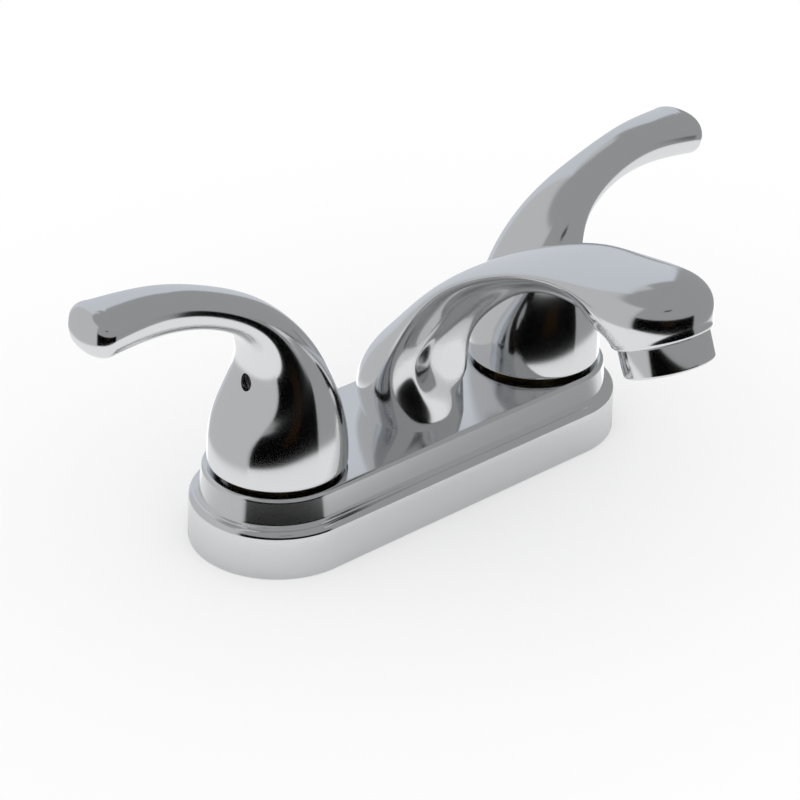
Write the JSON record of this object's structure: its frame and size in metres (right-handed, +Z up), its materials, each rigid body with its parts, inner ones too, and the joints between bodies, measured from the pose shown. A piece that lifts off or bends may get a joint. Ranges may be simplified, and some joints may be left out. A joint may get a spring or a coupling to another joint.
{
  "type": "centreset basin tap",
  "caption": "Centreset basin tap with a stepped oval base plate, a lever handle over each ceramic disc valve and an arched fixed spout with an aerator.",
  "frame": {"origin": "centre of the base plate's underside, in the plane of the basin's top", "axes": "+X from the hot valve to the cold valve, -Y towards the user and the spout's outlet, +Z up"},
  "size_m": [0.2263, 0.136, 0.1533],
  "materials": {
    "chrome_plate": "bright chrome plating",
    "chrome_spout": "bright chrome plating",
    "chrome_lever": "bright chrome plating",
    "chrome_ring": "bright chrome plating",
    "raw_brass": "machined brass",
    "dark_steel": "blackened steel",
    "steel_screen": "fine woven steel",
    "white_plastic": "moulded plastic",
    "white_ceramic": "lapped ceramic",
    "black_rubber": "moulded rubber"
  },
  "bodies": {
    "root": {"deck_plate": "chrome_plate", "base_gasket": "black_rubber", "waterway_body": "raw_brass", "spout": "chrome_spout", "spout_spigot": "raw_brass", "spout_seal_ring": "black_rubber", "spout_locknut": "raw_brass", "aerator_housing": "chrome_ring", "aerator_washer": "black_rubber", "aerator_insert": "white_plastic", "aerator_screen": "steel_screen", "hot_fixed_disc": "white_ceramic", "hot_seat_seal": "black_rubber", "hot_cartridge": "raw_brass", "hot_bonnet_nut": "raw_brass", "hot_shank": "raw_brass", "hot_mounting_nut": "white_plastic", "cold_fixed_disc": "white_ceramic", "cold_seat_seal": "black_rubber", "cold_cartridge": "raw_brass", "cold_bonnet_nut": "raw_brass", "cold_shank": "raw_brass", "cold_mounting_nut": "white_plastic"},
    "hot_lever": {"hot_handle": "chrome_lever", "hot_set_screw": "dark_steel", "hot_stem": "raw_brass", "hot_stem_oring": "black_rubber", "hot_turning_disc": "white_ceramic"},
    "cold_lever": {"cold_handle": "chrome_lever", "cold_set_screw": "dark_steel", "cold_stem": "raw_brass", "cold_stem_oring": "black_rubber", "cold_turning_disc": "white_ceramic"}
  },
  "joints": [
    {"name": "hot_lever_turn", "type": "hinge", "parent": "root", "child": "hot_lever", "pos_m": [-0.0508, 0, 0.025], "axis": [0, 0, 1], "range_deg": [0, 90]},
    {"name": "cold_lever_turn", "type": "hinge", "parent": "root", "child": "cold_lever", "pos_m": [0.0508, 0, 0.025], "axis": [0, 0, 1], "range_deg": [-90, 0]}
  ]
}
